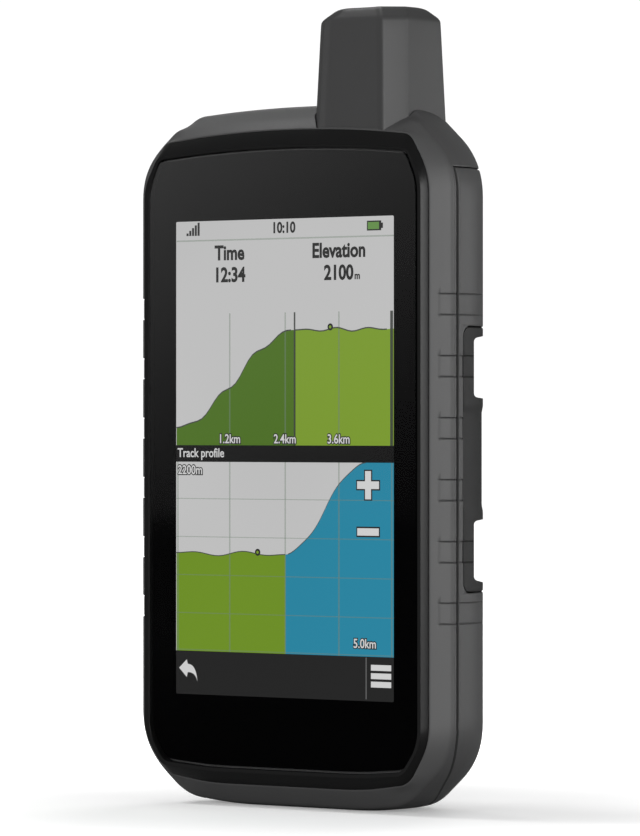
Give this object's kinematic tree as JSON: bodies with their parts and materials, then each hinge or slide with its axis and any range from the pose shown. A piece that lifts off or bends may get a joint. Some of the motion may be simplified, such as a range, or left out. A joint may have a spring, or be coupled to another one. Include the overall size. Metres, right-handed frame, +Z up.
{
  "type": "handheld gps unit",
  "caption": "Rugged handheld GPS unit with a tall touch screen, stub antenna, weather caps and a lift-off battery pack held by a D-ring latch.",
  "frame": {"origin": "centre of the bounding box's bottom face, under the bottom end", "axes": "screen faces -Y, +X to the viewer's right, +Z up along the body"},
  "size_m": [0.092, 0.0324, 0.1803],
  "materials": {
    "shell_grey": "fine moulded texture, satin",
    "trim_dark": "fine moulded texture, matt",
    "ring_black": "satin",
    "front_glass": "polished, black behind the border",
    "display": "display layers",
    "seal_black": "matt",
    "circuit_board": "solder resist",
    "flex_amber": "satin film",
    "steel": "brushed",
    "contact_gold": "plated",
    "ceramic_former": "smooth",
    "cell_wrap": "shrink wrap",
    "membrane_white": "porous film"
  },
  "bodies": {
    "housing": {"front_housing": "shell_grey", "bezel_ring": "ring_black", "cover_glass": "front_glass", "glass_gasket": "seal_black", "lcd_panel": "display", "backlight_unit": "display", "display_frame": "steel", "display_flex": "flex_amber", "main_board": "circuit_board", "shield_can_processor": "steel", "shield_can_radio": "steel", "backup_cell": "steel", "antenna_radome": "shell_grey", "antenna_seal": "seal_black", "antenna_core": "ceramic_former", "antenna_board": "circuit_board", "antenna_cable": "seal_black", "button_boot": "seal_black", "power_switch_board": "circuit_board", "usb_connector": "steel", "antenna_port_connector": "contact_gold", "speaker": "trim_dark", "speaker_gasket": "seal_black", "rear_chassis": "trim_dark", "chassis_seal": "seal_black", "vent_membrane": "membrane_white", "battery_contact_block": "contact_gold", "latch_keeper": "steel", "card_socket": "steel", "chassis_screw_1": "steel", "chassis_screw_2": "steel", "chassis_screw_3": "steel", "chassis_screw_4": "steel", "chassis_screw_5": "steel", "chassis_screw_6": "steel"},
    "power_button": {"power_button": "trim_dark"},
    "usb_cap": {"usb_cap": "seal_black"},
    "antenna_port_cap": {"antenna_port_cap": "seal_black"},
    "battery_pack": {"pack_case": "shell_grey", "pack_tray": "trim_dark", "pack_seal": "seal_black", "battery_cell_left": "cell_wrap", "battery_cell_right": "cell_wrap", "protection_board": "circuit_board", "dock_contact_plate": "contact_gold", "mount_spine": "trim_dark", "spine_screw_1": "steel", "spine_screw_2": "steel", "side_rail_left": "trim_dark", "side_rail_right": "trim_dark"},
    "latch": {"latch_stud": "steel", "latch_o_ring": "seal_black", "d_ring_pin": "steel"},
    "d_ring": {"d_ring": "steel"},
    "memory_card": {"memory_card": "trim_dark"}
  },
  "joints": [
    {"name": "power_button_travel", "type": "slide", "parent": "housing", "child": "power_button", "axis": [0.6574, 0, -0.7536], "range_m": [0, 0.0005]},
    {"name": "usb_cap_hinge", "type": "hinge", "parent": "housing", "child": "usb_cap", "pos_m": [-0.0133, 0.0125, 0.1517], "axis": [1, 0, 0], "range_deg": [0, 115]},
    {"name": "antenna_port_cap_hinge", "type": "hinge", "parent": "housing", "child": "antenna_port_cap", "pos_m": [-0.001, 0.0125, 0.1517], "axis": [1, 0, 0], "range_deg": [0, 115]},
    {"name": "battery_pack_lift", "type": "slide", "parent": "housing", "child": "battery_pack", "axis": [0, 1, 0], "range_m": [0, 0.03]},
    {"name": "latch_turn", "type": "hinge", "parent": "battery_pack", "child": "latch", "pos_m": [0, 0.008, 0.024], "axis": [0, 1, 0], "range_deg": [0, 90]},
    {"name": "d_ring_fold", "type": "hinge", "parent": "latch", "child": "d_ring", "pos_m": [0, 0.01, 0.024], "axis": [1, 0, 0], "range_deg": [0, 95]},
    {"name": "memory_card_slide", "type": "slide", "parent": "housing", "child": "memory_card", "axis": [0, 0, -1], "range_m": [0, 0.01]}
  ]
}
